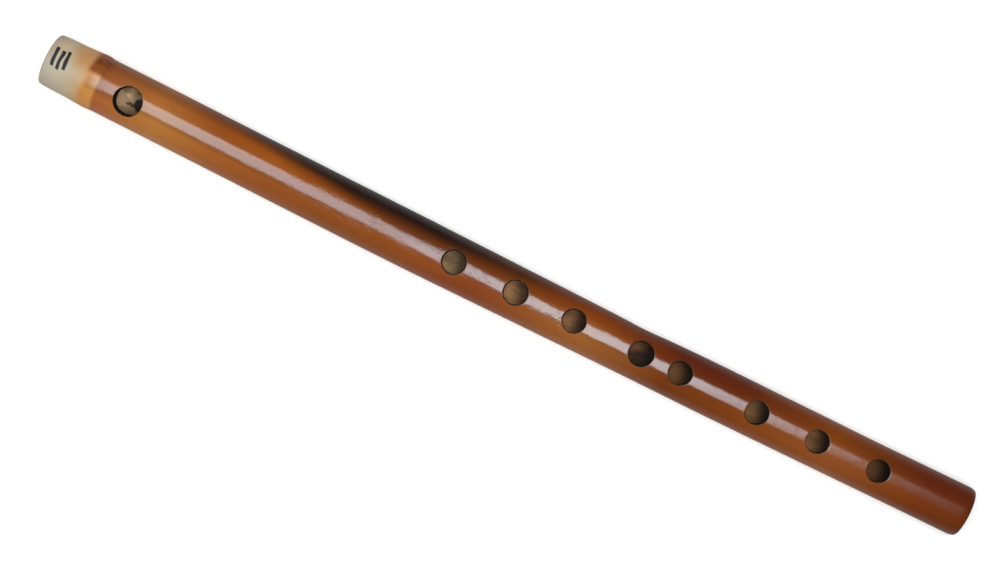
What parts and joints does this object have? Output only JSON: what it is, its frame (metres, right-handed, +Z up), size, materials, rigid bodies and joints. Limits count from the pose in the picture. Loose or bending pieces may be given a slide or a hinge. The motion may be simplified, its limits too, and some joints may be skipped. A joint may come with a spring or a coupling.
{
  "type": "bamboo flute",
  "caption": "Side-blown bamboo flute: a glossy brown tube with a blow hole, a row of finger holes, an open foot and a sliding cork stopper inside its pale head end.",
  "frame": {"origin": "under the middle of the tube's length, on its centre plane, at the level of the surface that the tube lies on", "axes": "+X along the tube from the head end to the open foot; +Z up, the way the finger holes face; the player stands at -Y"},
  "size_m": [0.435, 0.0244, 0.0245],
  "materials": {
    "lacquered_bamboo": "glossy lacquer over browned bamboo; the head end is bare and matte",
    "cork": "matte natural cork",
    "beeswax": "satin beeswax"
  },
  "bodies": {
    "tube": {"bamboo_tube": "lacquered_bamboo"},
    "stopper": {"cork_stopper": "cork", "wax_seal": "beeswax"}
  },
  "joints": [
    {"name": "stopper_slide", "type": "slide", "parent": "tube", "child": "stopper", "axis": [1, 0, 0], "range_m": [-0.0065, 0.005]}
  ]
}
